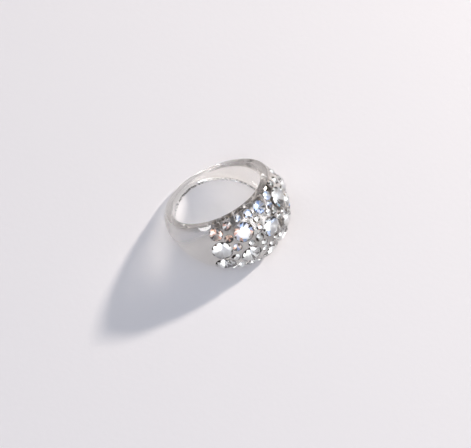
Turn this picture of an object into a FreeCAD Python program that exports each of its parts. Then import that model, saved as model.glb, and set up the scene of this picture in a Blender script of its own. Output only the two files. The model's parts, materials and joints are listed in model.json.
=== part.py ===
import FreeCAD, Part
import math
import os

# A cast resin cocktail ring with a domed head, set with round foil-backed crystals. Sizes are in mm.
# It is built with the finger hole along Z and the head facing +X, then laid on one of its side faces.

# Band
bore_radius = 8.65  # finger hole, 17.3 mm across
shank_width = 1.8  # length of the finger hole at the back of the ring
crown_at_head = 4.65  # resin from the finger hole to the middle of the dome
crown_at_shank = 1.7  # the same at the back
crown_falloff = 2.2  # power law: higher drops the dome sooner away from the head
rim_at_head = 1.6  # width of the flat side face, measured outwards from the finger hole
rim_at_shank = 1.05
rim_round = 0.12  # rounding where the finger hole meets the side faces
edge_margin = 0.15  # resin left between a seat and the edge of a side face
seat_wall = 0.04  # thinnest resin between two seats

# Crystals, by size
crystal_diameter = {"large": 3.7, "medium": 2.45, "small": 1.65, "fine": 1.25}
full_cut = {"large": True, "medium": True, "small": False, "fine": False}
table_share = 0.62  # flat top, as a share of the diameter
crown_share = 0.13  # height of the cut slope above the girdle
girdle_share = 0.03
pavilion_share = 0.42  # depth of the point below the girdle
star_share = 0.55  # how far the star facets reach from the table to the girdle
lower_share = 0.22  # where the lower facets start, from the point to the girdle
main_facets = 8  # around the crown, and around the back
girdle_sink = 0.04  # how far the girdle sits below the resin

# Backing and seat
foil_thickness = 0.03
glue_line = 0.02

# Where the crystals sit: (along the crown from the middle of the head, across it)
setting_plan = {
    "large": [
        (-10.5, 0.8), (-10.7, -3.3), (-5.4, 3.6), (-5.3, -1.8), (-0.8, -4.9), (0.0, 1.5),
        (5.0, -1.1), (4.3, -5.1), (5.6, 3.8), (10.7, -2.7), (11.2, 1.9),
    ],
    "medium": [(-10.9, 4.3), (-5.1, -5.2), (0.0, 6.0), (1.9, -2.6), (7.7, 1.0), (8.1, -5.2)],
    "small": [
        (-8.2, 5.6), (-8.6, 3.2), (-7.5, 1.1), (-8.3, -1.3), (-7.6, -4.3), (-3.0, 6.3), (-3.0, 1.2),
        (3.4, 6.2), (8.0, -1.3), (7.1, -3.1), (9.3, 4.9), (12.6, 4.5), (13.1, -0.5), (13.4, -4.5),
    ],
    "fine": [
        (-9.1, -5.7), (-7.3, -6.0), (-5.4, 6.3), (-4.8, 0.9), (-2.3, 3.1), (-2.1, 4.7), (-2.4, -0.4),
        (-2.5, -2.1), (-3.2, -6.6), (-1.0, -2.1), (0.2, -1.2), (0.9, 4.1), (1.6, -6.6), (2.3, 4.9),
        (2.3, 3.4), (2.7, 1.8), (4.2, 1.5), (7.3, 6.0), (8.5, 3.1), (9.5, -0.2), (10.9, -5.4),
    ],
}

# Modelling steps
band_sections = 24
blank_overhang = 1.12  # how far the domed blank reaches past the side faces before they are cut
blank_hollow = 0.8  # the blank's own hole, as a share of the finger hole
cut_reach = 40.0
edge_samples = 7  # points tried on an edge to see that it lies on the finger hole
edge_tolerance = 1e-4
least_spread, most_spread, spread_step = 0.5, 2.5, 1e-6


def crown_thickness(turn):
    lift = ((1 + math.cos(turn)) / 2) ** crown_falloff
    return crown_at_shank + (crown_at_head - crown_at_shank) * lift


def rim_width(turn):
    return rim_at_shank + (rim_at_head - rim_at_shank) * (1 + math.cos(turn)) / 2


def half_width(reach, slope):
    """Half the distance between the side faces, reach mm from the axis towards the head."""
    return shank_width / 2 + (bore_radius + reach) * slope


def dome_arc(turn, slope):
    """Centre, radius and half angle of the arc that the dome shows in a cut through the axis."""
    edge = bore_radius + rim_width(turn)
    half = half_width(edge * math.cos(turn), slope)
    rise = crown_thickness(turn) - rim_width(turn)
    radius = (half * half + rise * rise) / (2 * rise)
    return edge + rise - radius, radius, 2 * math.atan2(rise, half)


def around(reach, height, turn):
    return FreeCAD.Vector(reach * math.cos(turn), reach * math.sin(turn), height)


def crystal_radius(size):
    return crystal_diameter[size] / 2


def seat_radius(size):
    return crystal_radius(size) + foil_thickness + glue_line


def turn_of(along, spread):
    return along * spread / (bore_radius + crown_at_head)


def planned():
    return [(size, along, across) for size in setting_plan for along, across in setting_plan[size]]


def side_slope(spread):
    """Slope of each side face that leaves the edge margin outside every crystal."""
    slope = 0.0
    for size, along, across in planned():
        turn = turn_of(along, spread)
        rise = crown_thickness(turn) - rim_width(turn)
        arc = abs(across) * spread + seat_radius(size) + edge_margin
        # Half width of a shallow arc from its half length and rise
        half = math.sqrt(max(arc * arc - 4 * rise * rise / 3, 0.0))
        edge = (bore_radius + rim_width(turn)) * math.cos(turn)
        slope = max(slope, (half - shank_width / 2) / (bore_radius + edge))
    return slope


def station(size, along, across, spread, slope):
    """Centre of a crystal's girdle, and the direction that the crystal faces."""
    turn = turn_of(along, spread)
    centre, radius, _ = dome_arc(turn, slope)
    lean = across * spread / radius
    facing = around(math.cos(lean), math.sin(lean), turn)
    sag = crystal_radius(size) ** 2 / (2 * radius)
    return around(centre, 0.0, turn) + facing * (radius - sag - girdle_sink), facing


def tightest(spread):
    """Least resin between two seats, less the wall that is asked for."""
    slope = side_slope(spread)
    spots = [(station(*plan, spread, slope)[0], seat_radius(plan[0])) for plan in planned()]
    walls = [
        (spot - other).Length - radius - other_radius
        for i, (spot, radius) in enumerate(spots)
        for other, other_radius in spots[:i]
    ]
    return min(walls) - seat_wall


def find_spread():
    """How far the plan is stretched so that the seats just clear each other."""
    low, high = least_spread, most_spread
    while high - low > spread_step:
        middle = (low + high) / 2
        if tightest(middle) < 0:
            low = middle
        else:
            high = middle
    return high


def section(turn, slope):
    centre, radius, half_angle = dome_arc(turn, slope)
    angle = half_angle * blank_overhang
    reach, height = centre + radius * math.cos(angle), radius * math.sin(angle)
    hollow = bore_radius * blank_hollow
    top, bottom = around(reach, height, turn), around(reach, -height, turn)
    inner_top, inner_bottom = around(hollow, height, turn), around(hollow, -height, turn)
    return Part.Wire([
        Part.Arc(bottom, around(centre + radius, 0.0, turn), top).toShape(),
        Part.makeLine(top, inner_top),
        Part.makeLine(inner_top, inner_bottom),
        Part.makeLine(inner_bottom, bottom),
    ])


def make_band(slope, seats):
    turns = [math.pi + 2 * math.pi * i / band_sections for i in range(band_sections)]
    blank = Part.makeLoft([section(turn, slope) for turn in turns], True, False, True)
    side = half_width(0.0, slope)
    tilt = math.degrees(math.atan(slope))
    corner = FreeCAD.Vector(-cut_reach, -cut_reach, 0)
    block = Part.makeBox(2 * cut_reach, 2 * cut_reach, cut_reach, corner)
    above = block.copy()
    above.rotate(FreeCAD.Vector(), FreeCAD.Vector(0, 1, 0), -tilt)
    above.translate(FreeCAD.Vector(0, 0, side))
    below = above.mirror(FreeCAD.Vector(), FreeCAD.Vector(0, 0, 1))
    bore = Part.makeCylinder(bore_radius, 2 * cut_reach, FreeCAD.Vector(0, 0, -cut_reach))
    band = blank.cut([above, below, bore])
    rims = [edge for edge in band.Edges if all(
        abs(math.hypot(point.x, point.y) - bore_radius) < edge_tolerance
        for point in edge.discretize(edge_samples)
    ) and edge.Length > bore_radius]
    band = band.makeFillet(rim_round, rims)
    return band.cut(seats)


def ring_of(count, radius, height, offset=0.0):
    return [around(radius, height, 2 * math.pi * (i + offset) / count) for i in range(count)]


def solid_of(outlines):
    faces = [Part.Face(Part.makePolygon(outline + outline[:1])) for outline in outlines]
    solid = Part.Solid(Part.Shell(faces))
    if solid.Volume < 0:
        solid.reverse()
    return solid


def main_height(radius, count, edge_radius, edge_height, inner_radius, inner_height):
    """Height of a point between two main facets, on the planes of both."""
    run = radius * math.cos(math.pi / count)
    return edge_height + (inner_height - edge_height) * (edge_radius - run) / (edge_radius - inner_radius)


def crown_outlines(size, count):
    """The facets above the girdle, with the girdle's top corners."""
    radius = crystal_radius(size)
    table = radius * table_share
    height = crystal_diameter[size] * crown_share
    top = ring_of(count, table, height)
    outlines = [top]
    if not full_cut[size]:
        rim = ring_of(count, radius, 0.0)
        outlines += [[top[i - 1], rim[i - 1], rim[i], top[i]] for i in range(count)]
        return outlines, rim
    star = table + (radius - table) * star_share
    stars = ring_of(count, star, main_height(star, count, radius, 0.0, table, height), 0.5)
    rim = ring_of(2 * count, radius, 0.0)
    for i in range(count):
        outlines += [
            [top[i], stars[i - 1], rim[2 * i], stars[i]],
            [top[i - 1], stars[i - 1], top[i]],
            [stars[i], rim[2 * i], rim[2 * i + 1]],
            [stars[i], rim[2 * i + 1], rim[(2 * i + 2) % (2 * count)]],
        ]
    return outlines, rim


def pavilion_outlines(size, count, scale=1.0):
    """The facets below the girdle, with the girdle's bottom corners."""
    base = -crystal_diameter[size] * girdle_share
    radius = crystal_radius(size) * scale
    depth = base - crystal_diameter[size] * pavilion_share * scale
    point = FreeCAD.Vector(0, 0, depth)
    if not full_cut[size]:
        rim = ring_of(count, radius, base)
        return [[rim[i - 1], point, rim[i]] for i in range(count)], rim
    lower = radius * lower_share
    lowers = ring_of(count, lower, main_height(lower, count, radius, base, 0.0, depth), 0.5)
    rim = ring_of(2 * count, radius, base)
    outlines = []
    for i in range(count):
        outlines += [
            [point, lowers[i - 1], rim[2 * i], lowers[i]],
            [lowers[i], rim[2 * i], rim[2 * i + 1]],
            [lowers[i], rim[2 * i + 1], rim[(2 * i + 2) % (2 * count)]],
        ]
    return outlines, rim


def make_crystal(size):
    crown, top = crown_outlines(size, main_facets)
    pavilion, bottom = pavilion_outlines(size, main_facets)
    girdle = [[top[i - 1], bottom[i - 1], bottom[i], top[i]] for i in range(len(top))]
    return solid_of(crown + girdle + pavilion)


def make_foil(size):
    """A thin faceted cup that covers the back of a crystal up to its girdle."""
    inside, inner = pavilion_outlines(size, main_facets)
    outside, outer = pavilion_outlines(size, main_facets, 1 + foil_thickness / crystal_radius(size))
    rim = [[inner[i - 1], outer[i - 1], outer[i], inner[i]] for i in range(len(inner))]
    return solid_of(inside + outside + rim)


def make_seat(size):
    """The drilled hole for one crystal: a cone below the girdle, and a round well above it."""
    radius = seat_radius(size)
    base = -crystal_diameter[size] * girdle_share
    corner = lower_share if full_cut[size] else 0.0
    steepening = (1 - corner * math.cos(math.pi / main_facets)) / (1 - corner)
    depth = base - 2 * pavilion_share * radius * steepening
    well = crystal_diameter[size]
    outline = [(0.0, depth), (radius, base), (radius, well), (0.0, well), (0.0, depth)]
    wire = Part.makePolygon([FreeCAD.Vector(x, 0, z) for x, z in outline])
    return Part.Face(wire).revolve(FreeCAD.Vector(), FreeCAD.Vector(0, 0, 1), 360)


def seated(shape, spot, facing):
    moved = shape.copy()
    turned = FreeCAD.Rotation(FreeCAD.Vector(0, 0, 1), facing)
    moved.Placement = FreeCAD.Placement(spot, turned)
    return moved


def build():
    spread = find_spread()
    slope = side_slope(spread)
    nodes = {}
    seats = []
    for size in setting_plan:
        crystal, foil, seat = make_crystal(size), make_foil(size), make_seat(size)
        foils = []
        for number, (along, across) in enumerate(setting_plan[size], 1):
            spot, facing = station(size, along, across, spread, slope)
            nodes[f"{size}_crystal_{number:02d}"] = seated(crystal, spot, facing)
            foils.append(seated(foil, spot, facing))
            seats.append(seated(seat, spot, facing))
        nodes[f"{size}_foil_backs"] = Part.makeCompound(foils)
    nodes["resin_band"] = make_band(slope, seats)
    return nodes, slope


def laid_down(nodes, slope):
    """Turns the ring onto its lower side face and centres it over the origin."""
    tilt = math.degrees(math.atan(slope))
    for shape in nodes.values():
        shape.rotate(FreeCAD.Vector(), FreeCAD.Vector(0, 1, 0), -tilt)
    box = Part.makeCompound(list(nodes.values())).optimalBoundingBox(False, False)
    lift = half_width(0.0, slope) * math.cos(math.radians(tilt))
    shift = FreeCAD.Vector(-(box.XMin + box.XMax) / 2, 0, lift)
    for shape in nodes.values():
        shape.translate(shift)
    return nodes


os.makedirs("parts", exist_ok=True)
made, found_slope = build()
for name, shape in laid_down(made, found_slope).items():
    shape.exportStep(f"parts/{name}.step")
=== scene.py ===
import json
import math
import random

import bmesh
import bpy
from mathutils import Matrix, Vector


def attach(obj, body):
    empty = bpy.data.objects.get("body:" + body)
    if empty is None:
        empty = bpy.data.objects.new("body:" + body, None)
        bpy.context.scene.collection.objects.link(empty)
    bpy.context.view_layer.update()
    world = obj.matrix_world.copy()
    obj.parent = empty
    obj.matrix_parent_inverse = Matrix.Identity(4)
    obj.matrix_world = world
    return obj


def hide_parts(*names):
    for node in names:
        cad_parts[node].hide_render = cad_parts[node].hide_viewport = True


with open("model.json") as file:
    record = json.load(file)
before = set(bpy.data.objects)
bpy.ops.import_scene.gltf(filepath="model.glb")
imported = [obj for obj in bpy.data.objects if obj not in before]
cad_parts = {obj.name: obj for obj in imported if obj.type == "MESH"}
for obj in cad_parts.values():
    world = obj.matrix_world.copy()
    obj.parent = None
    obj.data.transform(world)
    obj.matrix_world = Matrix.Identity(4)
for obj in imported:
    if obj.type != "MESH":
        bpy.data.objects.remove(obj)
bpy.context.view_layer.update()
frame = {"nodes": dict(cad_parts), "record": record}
print("frame loaded:", len(frame["nodes"]), "nodes")

mm = 0.001
mergeGap = 0.0005 * mm  # corners closer than this are one
fingerHole = next(mount for mount in frame["record"]["mounts"] if mount["name"] == "finger_hole")
ringCentre = Vector(fingerHole["pos_m"])
ringAxis = Vector(fingerHole["axis"]).normalized()
headWay = Vector((ringAxis.z, 0.0, -ringAxis.x))  # from the middle of the hole to the head
ringTurn = Matrix((headWay, (0, 1, 0), ringAxis)).transposed().to_4x4()
ringPlace = Matrix.Translation(ringCentre) @ ringTurn


def toLinear(hexColour):
    shares = [int(hexColour[i : i + 2], 16) / 255 for i in (1, 3, 5)]
    lit = [((share + 0.055) / 1.055) ** 2.4 if share > 0.04045 else share / 12.92 for share in shares]
    return (*lit, 1.0)


def addNode(tree, kind, sockets=None, **settings):
    node = tree.nodes.new(kind)
    for name, value in settings.items():
        setattr(node, name, value)
    for socket, value in (sockets or {}).items():
        if isinstance(value, bpy.types.NodeSocket):
            tree.links.new(value, node.inputs[socket])
        else:
            node.inputs[socket].default_value = value
    return node


def newMaterial(name):
    material = bpy.data.materials.new(name)
    material.use_nodes = True
    material.node_tree.nodes.clear()
    return material, material.node_tree


def paintRamp(node, stops):
    ramp = node.color_ramp
    while len(ramp.elements) > 1:
        ramp.elements.remove(ramp.elements[-1])
    ramp.elements[0].position = stops[0][0]
    ramp.elements[0].color = toLinear(stops[0][1])
    for position, colour in stops[1:]:
        ramp.elements.new(position).color = toLinear(colour)


def newPiece(name, shape, materials, nodes):
    mesh = bpy.data.meshes.new(name)
    shape.to_mesh(mesh)
    shape.free()
    for material in materials:
        mesh.materials.append(material)
    piece = bpy.data.objects.new(name, mesh)
    bpy.context.scene.collection.objects.link(piece)
    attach(piece, "root")
    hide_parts(*nodes)
    return piece


def mergedCopy(nodeName):
    shape = bmesh.new()
    shape.from_mesh(frame["nodes"][nodeName].data)
    bmesh.ops.remove_doubles(shape, verts=shape.verts, dist=mergeGap)
    return shape


# Clear casting resin, polished on a soft wheel: bright edges, and what lies behind bends a little
resinFinish = {
    "tint": "#FBFAF8",
    "depthTint": "#9E9080",  # colour that a long way through the resin takes on
    "depthDensity": 30.0,  # per metre
    "ior": 1.52,
    "waveSize": 2.6,  # mm between the soft ripples that polishing leaves
    "waveHeight": 0.006,  # mm
    "hazeSize": 0.35,  # mm, the fine scuffs on the surface
    "haze": 0.02,
    "lampShare": 0.14,  # share of lamp light that goes straight through
}


def makeResin():
    finish = resinFinish
    material, tree = newMaterial("clearCastResinPolished")
    place = addNode(tree, "ShaderNodeTexCoord").outputs["Object"]
    waves = addNode(tree, "ShaderNodeTexNoise", {
        "Vector": place, "Scale": 1 / (finish["waveSize"] * mm), "Detail": 1.5, "Roughness": 0.4,
    })
    bump = addNode(tree, "ShaderNodeBump", {
        "Height": waves.outputs["Fac"], "Distance": finish["waveHeight"] * mm, "Strength": 1.0,
    })
    scuffs = addNode(tree, "ShaderNodeTexNoise", {
        "Vector": place, "Scale": 1 / (finish["hazeSize"] * mm), "Detail": 3.0,
    })
    rough = addNode(tree, "ShaderNodeMapRange", {
        "Value": scuffs.outputs["Fac"], "From Min": 0.55, "From Max": 0.8,
        "To Min": 0.0, "To Max": finish["haze"],
    })
    glass = addNode(tree, "ShaderNodeBsdfPrincipled", {
        "Base Color": toLinear(finish["tint"]), "Roughness": rough.outputs["Result"], "IOR": finish["ior"],
        "Transmission Weight": 1.0, "Normal": bump.outputs["Normal"],
    })
    through = addNode(tree, "ShaderNodeBsdfTransparent", {"Color": toLinear(finish["tint"])})
    path = addNode(tree, "ShaderNodeLightPath")
    share = addNode(tree, "ShaderNodeMath", {
        0: path.outputs["Is Shadow Ray"], 1: finish["lampShare"],
    }, operation="MULTIPLY")
    both = addNode(tree, "ShaderNodeMixShader", {
        "Fac": share.outputs["Value"], 1: glass.outputs["BSDF"], 2: through.outputs["BSDF"],
    })
    depth = addNode(tree, "ShaderNodeVolumeAbsorption", {
        "Color": toLinear(finish["depthTint"]), "Density": finish["depthDensity"],
    })
    addNode(tree, "ShaderNodeOutputMaterial", {
        "Surface": both.outputs["Shader"], "Volume": depth.outputs["Volume"],
    })
    return material


# Crystal glass, machine cut and polished: hard bright facets, and the dark edges between them are painted
# shade set on the stones' facets
crystalFinish = {
    "tint": "#FFFFFF",
    "ior": 1.56,
    "coatIor": 1.75,  # the thin metal oxide coat that makes the tables flash white
    "coatRoughness": 0.03,
    "scuffSize": 0.12,  # mm
    "scuff": 0.02,
}


def makeCrystal():
    finish = crystalFinish
    material, tree = newMaterial("crystalGlassMachineCut")
    place = addNode(tree, "ShaderNodeTexCoord").outputs["Object"]
    scuffs = addNode(tree, "ShaderNodeTexNoise", {
        "Vector": place, "Scale": 1 / (finish["scuffSize"] * mm), "Detail": 2.0,
    })
    rough = addNode(tree, "ShaderNodeMapRange", {
        "Value": scuffs.outputs["Fac"], "From Min": 0.6, "From Max": 0.85,
        "To Min": 0.0, "To Max": finish["scuff"],
    })
    glass = addNode(tree, "ShaderNodeBsdfPrincipled", {
        "Base Color": toLinear(finish["tint"]), "Roughness": rough.outputs["Result"], "IOR": finish["ior"],
        "Transmission Weight": 1.0,
        "Coat Weight": 1.0, "Coat IOR": finish["coatIor"], "Coat Roughness": finish["coatRoughness"],
    })
    addNode(tree, "ShaderNodeOutputMaterial", {"Surface": glass.outputs["BSDF"]})
    return material


# Vacuum silvered glass, seen from inside: a soft mirror with painted glints, each facet painted white,
# grey, dark, blue, amber or cyan to stand in for reflections and the fire of the cut
silverAndPaintedGlints = {
    # painted glints: painted reflections and painted dispersion, one colour per facet
    "glints": {
        "white": "#FBFBFA", "grey": "#DDDBDA", "dark": "#3B3532",
        "blue": "#B3CCF6", "amber": "#EFBFA4", "cyan": "#5CC6EC",
    },
    "roughness": 0.3,
}
glintKinds = list(silverAndPaintedGlints["glints"])


def makeSilverWithPaintedGlints():
    finish = silverAndPaintedGlints
    material, tree = newMaterial("vacuumSilveredGlass")
    # each facet's painted glint colour, read from its glint value
    glint = addNode(tree, "ShaderNodeAttribute", attribute_name="glint")
    ramp = addNode(tree, "ShaderNodeValToRGB", {"Fac": glint.outputs["Fac"]})
    ramp.color_ramp.interpolation = "CONSTANT"
    count = len(glintKinds)
    paintRamp(ramp, [(i / count, finish["glints"][kind]) for i, kind in enumerate(glintKinds)])
    metal = addNode(tree, "ShaderNodeBsdfPrincipled", {
        "Base Color": ramp.outputs["Color"], "Metallic": 1.0, "Roughness": finish["roughness"],
    })
    addNode(tree, "ShaderNodeOutputMaterial", {"Surface": metal.outputs["BSDF"]})
    return material


# Lacquer over the silvering, sprayed: dull grey with a fine metallic grain
lacquerFinish = {
    "colours": [(0.3, "#766E67"), (0.6, "#A39A91"), (0.8, "#D0C9C1")],
    "grain": 0.08,  # mm
    "grainHeight": 0.004,  # mm
    "metallic": 0.9,
    "roughness": 0.32,
}


def makeLacquer():
    finish = lacquerFinish
    material, tree = newMaterial("sprayedSilverLacquer")
    place = addNode(tree, "ShaderNodeTexCoord").outputs["Object"]
    grain = addNode(tree, "ShaderNodeTexNoise", {
        "Vector": place, "Scale": 1 / (finish["grain"] * mm), "Detail": 2.0,
    })
    ramp = addNode(tree, "ShaderNodeValToRGB", {"Fac": grain.outputs["Fac"]})
    paintRamp(ramp, finish["colours"])
    bump = addNode(tree, "ShaderNodeBump", {
        "Height": grain.outputs["Fac"], "Distance": finish["grainHeight"] * mm,
    })
    metal = addNode(tree, "ShaderNodeBsdfPrincipled", {
        "Base Color": ramp.outputs["Color"], "Metallic": finish["metallic"],
        "Roughness": finish["roughness"], "Normal": bump.outputs["Normal"],
    })
    addNode(tree, "ShaderNodeOutputMaterial", {"Surface": metal.outputs["BSDF"]})
    return material


resin = makeResin()
crystalGlass = makeCrystal()
silverWithPaintedGlints = makeSilverWithPaintedGlints()
lacquer = makeLacquer()
print("materials made")

# Round stones by size. Diameters, foil and glue in mm, the cut in shares of the diameter.
# A tilt is the cosine between a facet's normal and the way that the stone faces
stoneCut = {
    "diameter": {"large": 3.7, "medium": 2.45, "small": 1.65, "fine": 1.25},
    "crown": 0.13,
    "girdle": 0.03,
    "pavilion": 0.42,
    "foil": 0.03,
    "foilClear": 0.15,  # share of the foil left free behind the glass
    "glue": 0.02,
    "flatAngle": 0.6,  # degrees, triangles within it are one facet
    "backTilt": -0.2,  # facets below this are the silvered back
    "rimTilt": 0.2,  # facets between this and its negative are the edge, painted dark as painted shade round the stone
    "crownTilt": 0.81,  # front facets below this are the outermost ring
    "darkEvery": {"large": 2, "medium": 2, "small": 3, "fine": 3},  # one in so many of that ring is painted dark, painted shade round the stone
    "cupTilt": 0.3,  # foil faces above this are the inside of the cup
    "outerRow": 0.6,  # back facets further out than this share of the radius
    "twoRows": ("large", "medium"),  # sizes whose back has an outer row
    "seed": 11,
    # Shares of each kind of painted glint on the back facets, and the rest is painted white
    "moods": {
        "plain": {"grey": 0.1},
        "outer": {"grey": 0.13, "dark": 0.19},
        "cool": {"grey": 0.1, "dark": 0.13, "blue": 0.3},
        "warm": {"grey": 0.13, "dark": 0.3, "amber": 0.27},
        "fiery": {"grey": 0.1, "dark": 0.16, "blue": 0.18, "amber": 0.18},
    },
    # Stones whose painted glints lean blue, amber and mixed, in that order
    "cool": ("fine_03", "small_06", "medium_03", "small_08", "fine_14"),
    "warm": ("medium_01", "small_01", "small_02"),
    "fiery": ("large_03", "small_03", "fine_05", "small_09"),
    # Single facets painted with a coloured glint, a painted reflection, and the way they lie from the
    # middle of the stone
    "accents": {"large_09": ("cyan", (0.9, -0.3, -0.5)), "large_06": ("blue", (0.5, -0.6, -0.5))},
}
glintChance = random.Random(stoneCut["seed"])
stoneSeats = []


# Paints glints on the back facets: painted reflections in the shares of the mood
def paintGlints(facets, layer, mood):
    shares = stoneCut["moods"][mood]
    deck = [kind for kind in shares for _ in range(round(shares[kind] * len(facets)))]
    deck += ["white"] * (len(facets) - len(deck))
    glintChance.shuffle(deck)
    for facet, kind in zip(facets, deck):
        paintGlint(facet, layer, kind)


# Paints a facet's glint colour and gives it the silver back: a painted reflection
def paintGlint(facet, layer, kind):
    facet[layer] = (glintKinds.index(kind) + 0.5) / len(glintKinds)
    facet.material_index = 1


def makeStone(nodeName):
    size, number = nodeName.split("_crystal_")
    label = f"{size}_{number}"
    shape = mergedCopy(nodeName)
    flat = math.radians(stoneCut["flatAngle"])
    bmesh.ops.dissolve_limit(shape, angle_limit=flat, verts=shape.verts, edges=shape.edges)
    tableFacet = max(shape.faces, key=lambda facet: facet.calc_area())
    facing = tableFacet.normal.copy()
    radius = stoneCut["diameter"][size] / 2 * mm
    girdle = tableFacet.calc_center_median() - facing * stoneCut["crown"] * 2 * radius
    stoneSeats.append((girdle, facing, radius, size))
    layer = shape.faces.layers.float.new("glint")
    outer = []
    inner = []
    for facet in shape.faces:
        facet.smooth = False
        tilt = facet.normal.dot(facing)
        way = facet.calc_center_median() - girdle
        reach = (way - facing * way.dot(facing)).length / radius
        isRim = abs(tilt) < stoneCut["rimTilt"]
        isRing = 0 < tilt < stoneCut["crownTilt"]
        # The edge and one in so many of the outermost front facets are painted dark: painted shade round
        # the stone
        if isRim or (isRing and facet.index % stoneCut["darkEvery"][size] == 1):
            paintGlint(facet, layer, "dark")
        elif tilt < stoneCut["backTilt"]:
            isOuter = size in stoneCut["twoRows"] and reach > stoneCut["outerRow"]
            row = outer if isOuter else inner
            row.append(facet)
    # The back facets get painted glints, painted reflections by the stone's mood
    mood = next((kind for kind in ("cool", "warm", "fiery") if label in stoneCut[kind]), "plain")
    paintGlints(inner, layer, mood)
    paintGlints(outer, layer, "outer" if mood == "plain" else mood)
    # one outer back facet painted with a coloured glint, a painted reflection
    if label in stoneCut["accents"]:
        kind, lie = stoneCut["accents"][label]
        furthest = max(outer, key=lambda facet: facet.calc_center_median().dot(Vector(lie)))
        paintGlint(furthest, layer, kind)
    materials = (crystalGlass, silverWithPaintedGlints)
    return newPiece(f"{size}Stone{number}", shape, materials, (nodeName,))


def nearestFacing(seats, spot):
    return min(seats, key=lambda seat: (seat[0] - spot).length)[1]


def makeFoil(nodeName):
    size = nodeName.split("_")[0]
    shape = mergedCopy(nodeName)
    clear = stoneCut["foilClear"] * stoneCut["foil"] * mm
    seats = [seat for seat in stoneSeats if seat[3] == size]
    inner = set()
    for facet in shape.faces:
        if facet.normal.dot(nearestFacing(seats, facet.calc_center_median())) > stoneCut["cupTilt"]:
            inner.update(facet.verts)
    for corner in inner:
        corner.co -= nearestFacing(seats, corner.co) * clear
    return newPiece(f"{size}FoilBacks", shape, (lacquer,), (nodeName,))


stoneNodes = sorted(name for name in frame["nodes"] if "_crystal_" in name)
stones = [makeStone(name) for name in stoneNodes]
foils = [makeFoil(name) for name in sorted(frame["nodes"]) if name.endswith("_foil_backs")]
print("stones cut:", len(stones))

# Band, in mm. The dome thins towards the back, and the side faces lean out towards the head
band = {
    "shankWidth": 1.8,
    "crownAtHead": 4.65,
    "crownAtShank": 1.7,
    "crownFalloff": 2.2,  # higher keeps the head's height nearer to the front
    "rimAtHead": 1.6,
    "rimAtShank": 1.05,
    "holeRounding": 0.18,
    "edgeRounding": 0.09,
    "edgeLead": 0.16,  # left free on the dome for the edge rounding
    "roundingSteps": 5,
    "seatSink": 1.02,  # seats go this much deeper than the cup
    "sharpAngle": 40.0,  # degrees, seat edges are sharper than this
    "turnSteps": 432,
    "domeSteps": 36,
    "sideSteps": 3,
    "holeSteps": 6,
    "seatSteps": 40,
}
boreRadius = fingerHole["dims"]["r_mm"]
sideSlope = -ringAxis.x / ringAxis.z


def bandSection(turn):
    headShare = (1 + math.cos(turn)) / 2
    rim = band["rimAtShank"] + (band["rimAtHead"] - band["rimAtShank"]) * headShare
    swell = (band["crownAtHead"] - band["crownAtShank"]) * headShare ** band["crownFalloff"]
    edge = boreRadius + rim

    def halfAt(reach):
        return band["shankWidth"] / 2 + (boreRadius + reach * math.cos(turn)) * sideSlope

    half = halfAt(edge)
    rise = band["crownAtShank"] + swell - rim
    radius = (half * half + rise * rise) / (2 * rise)
    halfAngle = 2 * math.atan2(rise, half)
    lead = band["edgeLead"] / radius
    steps = band["domeSteps"] - 2
    spread = [(halfAngle - lead) * (2 * i / steps - 1) for i in range(steps + 1)]
    points = []
    for angle in [-halfAngle] + spread + [halfAngle]:
        points.append((edge + rise - radius + radius * math.cos(angle), radius * math.sin(angle)))
    for i in range(1, band["sideSteps"] + 1):
        reach = edge - rim * i / band["sideSteps"]
        points.append((reach, halfAt(reach)))
    inner = halfAt(boreRadius)
    for i in range(1, band["holeSteps"]):
        points.append((boreRadius, inner - 2 * inner * i / band["holeSteps"]))
    for i in range(band["sideSteps"]):
        reach = boreRadius + rim * i / band["sideSteps"]
        points.append((reach, -halfAt(reach)))
    return points


def spinRound(shape, corners, edges, steps):
    bmesh.ops.spin(
        shape, geom=corners + edges, cent=(0, 0, 0), axis=(0, 0, 1), dvec=(0, 0, 0),
        angle=2 * math.pi, steps=steps, use_merge=True, use_duplicate=False,
    )


def makeBand():
    shape = bmesh.new()
    spot = shape.verts.layers.int.new("spot")
    corners = []
    for number, (reach, height) in enumerate(bandSection(0.0)):
        corner = shape.verts.new((reach * mm, 0.0, height * mm))
        corner[spot] = number
        corners.append(corner)
    edges = [shape.edges.new((corners[i - 1], corners[i])) for i in range(len(corners))]
    spinRound(shape, corners, edges, band["turnSteps"])
    stepAngle = 2 * math.pi / band["turnSteps"]
    sections = {}
    for corner in shape.verts:
        step = round(math.atan2(corner.co.y, corner.co.x) / stepAngle) % band["turnSteps"]
        turn = stepAngle * step
        if step not in sections:
            sections[step] = bandSection(turn)
        reach, height = sections[step][corner[spot]]
        corner.co = Vector((reach * math.cos(turn), reach * math.sin(turn), height)) * mm
    bmesh.ops.recalc_face_normals(shape, faces=shape.faces)
    farEdge = band["domeSteps"]
    farMouth = farEdge + band["sideSteps"]
    outerSpots = ({0}, {farEdge})
    holeSpots = ({farMouth}, {farMouth + band["holeSteps"]})
    for spots, size in ((outerSpots, band["edgeRounding"]), (holeSpots, band["holeRounding"])):
        loops = [edge for edge in shape.edges if {corner[spot] for corner in edge.verts} in spots]
        bmesh.ops.bevel(
            shape, geom=loops, offset=size * mm, offset_type="OFFSET", profile=0.5,
            segments=band["roundingSteps"], affect="EDGES", material=-1, clamp_overlap=True,
        )
    bmesh.ops.transform(shape, matrix=ringPlace, verts=shape.verts)
    for face in shape.faces:
        face.smooth = True
    return shape


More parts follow.
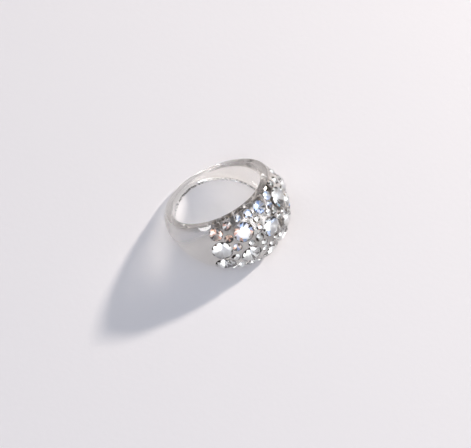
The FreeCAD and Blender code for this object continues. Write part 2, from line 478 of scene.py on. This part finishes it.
def makeSeats():
    shape = bmesh.new()
    for girdle, facing, stoneRadius, _ in stoneSeats:
        radius = stoneRadius + (stoneCut["foil"] + stoneCut["glue"]) * mm
        base = -2 * stoneRadius * stoneCut["girdle"]
        tip = base - 2 * stoneCut["pavilion"] * radius * band["seatSink"]
        outline = [(0.0, tip), (radius, base), (radius, 2 * stoneRadius), (0.0, 2 * stoneRadius)]
        old = set(shape.verts)
        corners = [shape.verts.new((x, 0.0, z)) for x, z in outline]
        edges = [shape.edges.new(pair) for pair in zip(corners, corners[1:])]
        spinRound(shape, corners, edges, band["seatSteps"])
        fresh = [corner for corner in shape.verts if corner not in old]
        bmesh.ops.remove_doubles(shape, verts=fresh, dist=mergeGap)
        fresh = [corner for corner in shape.verts if corner not in old]
        seatTurn = facing.to_track_quat("Z", "Y").to_matrix().to_4x4()
        bmesh.ops.transform(shape, matrix=Matrix.Translation(girdle) @ seatTurn, verts=fresh)
    bmesh.ops.recalc_face_normals(shape, faces=shape.faces)
    return shape


def drillSeats(piece):
    cutterMesh = bpy.data.meshes.new("seatCutters")
    cutterShape = makeSeats()
    cutterShape.to_mesh(cutterMesh)
    cutterShape.free()
    cutter = bpy.data.objects.new("seatCutters", cutterMesh)
    bpy.context.scene.collection.objects.link(cutter)
    drilling = piece.modifiers.new("drilledSeats", "BOOLEAN")
    drilling.operation = "DIFFERENCE"
    drilling.object = cutter
    drilling.solver = "EXACT"
    bpy.context.view_layer.update()
    drilled = piece.evaluated_get(bpy.context.evaluated_depsgraph_get())
    piece.data = bpy.data.meshes.new_from_object(drilled)
    piece.modifiers.clear()
    bpy.data.objects.remove(cutter)


bandPiece = newPiece("castBand", makeBand(), (resin,), ("resin_band",))
drillSeats(bandPiece)
bandPiece.data.set_sharp_from_angle(angle=math.radians(band["sharpAngle"]))
evened = bandPiece.modifiers.new("evenNormals", "WEIGHTED_NORMAL")
evened.keep_sharp = True
print("band cast and drilled:", len(bandPiece.data.polygons), "faces")

# Pale board, rolled with matt paint: a fine even tooth that only shows close up
board = {
    "colour": "#ECE9EA",
    "size": 3.0,  # metres
    "grain": 1.1,  # mm, coarser than the real tooth of the paint so that it shows
    "grainHeight": 0.04,  # mm
    "grainStrength": 0.6,
    "roughness": 0.75,
}


def makeBoard():
    shape = bmesh.new()
    bmesh.ops.create_grid(shape, x_segments=1, y_segments=1, size=board["size"] / 2)
    mesh = bpy.data.meshes.new("paintedBoard")
    shape.to_mesh(mesh)
    shape.free()
    material, tree = newMaterial("mattPaintRolled")
    place = addNode(tree, "ShaderNodeTexCoord").outputs["Object"]
    grain = addNode(tree, "ShaderNodeTexNoise", {
        "Vector": place, "Scale": 1 / (board["grain"] * mm), "Detail": 4.0,
    })
    bump = addNode(tree, "ShaderNodeBump", {
        "Height": grain.outputs["Fac"], "Distance": board["grainHeight"] * mm,
        "Strength": board["grainStrength"],
    })
    paint = addNode(tree, "ShaderNodeBsdfPrincipled", {
        "Base Color": toLinear(board["colour"]), "Roughness": board["roughness"],
        "Normal": bump.outputs["Normal"],
    })
    addNode(tree, "ShaderNodeOutputMaterial", {"Surface": paint.outputs["BSDF"]})
    mesh.materials.append(material)
    floor = bpy.data.objects.new("paintedBoard", mesh)
    bpy.context.scene.collection.objects.link(floor)


makeBoard()
print("board laid")

# A soft key from behind, a broad fill from above and two cards, in watts, metres and degrees.
# A card shows only in the polish and the stones
lamps = {
    "key": {
        "power": 5.4, "colour": "#FFF6EC", "size": 0.06, "away": 0.7, "azimuth": 168.5, "height": 24.0,
    },
    "fill": {
        "power": 1.0, "colour": "#EEF2FF", "size": 0.6, "away": 0.8, "azimuth": 40.8, "height": 56.0,
    },
    "leftCard": {
        "power": 1.3, "colour": "#FFFFFF", "size": 0.22, "away": 0.5, "azimuth": -18.0, "height": 24.0,
    },
    "rightCard": {
        "power": 4.0, "colour": "#FFFFFF", "size": 0.5, "away": 0.5, "azimuth": 92.0, "height": 28.0,
    },
}


def wayTo(azimuth, height):
    around = math.radians(azimuth)
    up = math.radians(height)
    return Vector((math.sin(around) * math.cos(up), -math.cos(around) * math.cos(up), math.sin(up)))


def placeLamp(name, lamp):
    light = bpy.data.lights.new(name, "AREA")
    light.energy = lamp["power"]
    light.color = toLinear(lamp["colour"])[:3]
    light.shape = "DISK"
    light.size = lamp["size"]
    way = wayTo(lamp["azimuth"], lamp["height"])
    holder = bpy.data.objects.new(name, light)
    bpy.context.scene.collection.objects.link(holder)
    holder.location = way * lamp["away"]
    holder.rotation_mode = "QUATERNION"
    holder.rotation_quaternion = way.to_track_quat("Z", "Y")
    holder.visible_camera = False
    holder.visible_diffuse = not name.endswith("Card")


for name, lamp in lamps.items():
    placeLamp(name, lamp)
print("lamps placed:", len(lamps))

# The room round the ring: dark low down and behind, bright above and to one side
room = {
    "bright": "#EAEFFB",
    "dark": "#2E2B2A",
    "power": 0.62,
    "brightWay": (0.45, -0.52, 0.73),  # up and to the near side of the head
    "darkUntil": 0.06,  # cosine from brightWay, where the dark starts to fade
    "brightFrom": 0.2,
}


def makeRoom():
    world = bpy.data.worlds.new("softRoom")
    bpy.context.scene.world = world
    world.use_nodes = True
    tree = world.node_tree
    tree.nodes.clear()
    way = addNode(tree, "ShaderNodeTexCoord").outputs["Generated"]
    side = addNode(tree, "ShaderNodeVectorMath", {0: way, 1: room["brightWay"]}, operation="DOT_PRODUCT")
    ramp = addNode(tree, "ShaderNodeValToRGB", {"Fac": side.outputs["Value"]})
    stops = [(0.0, room["dark"]), (room["darkUntil"], room["dark"]), (room["brightFrom"], room["bright"])]
    paintRamp(ramp, stops)
    sky = addNode(tree, "ShaderNodeBackground", {"Color": ramp.outputs["Color"], "Strength": room["power"]})
    addNode(tree, "ShaderNodeOutputWorld", {"Surface": sky.outputs["Background"]})


makeRoom()
print("room lit")

# Looking down over the near side, in degrees, metres and mm of lens
view = {
    "azimuth": 40.8,
    "elevation": 55.9,
    "distance": 0.35,
    "lens": 145.8,
    "shiftX": 0.0329,
    "shiftY": -0.0151,
    "sensor": 36.0,
    "near": 0.01,
    "far": 20.0,
}
cameraData = bpy.data.cameras.new("camera")
camera = bpy.data.objects.new("camera", cameraData)
bpy.context.scene.collection.objects.link(camera)
back = wayTo(view["azimuth"], view["elevation"])
camera.location = Vector((ringCentre.x, 0.0, 0.0)) + back * view["distance"]
camera.rotation_mode = "QUATERNION"
camera.rotation_quaternion = (-back).to_track_quat("-Z", "Y")
cameraData.sensor_width = view["sensor"]
cameraData.lens = view["lens"]
cameraData.shift_x = view["shiftX"]
cameraData.shift_y = view["shiftY"]
cameraData.clip_start = view["near"]
cameraData.clip_end = view["far"]
print("camera placed")

scene = bpy.context.scene
scene.camera = camera
scene.view_settings.view_transform = "Standard"
scene.cycles.max_bounces = 24
scene.cycles.transmission_bounces = 24
scene.cycles.glossy_bounces = 12
scene.cycles.transparent_max_bounces = 24
scene.cycles.caustics_reflective = True
scene.cycles.caustics_refractive = True
scene.cycles.sample_clamp_indirect = 6.0
scene.cycles.use_denoising = True
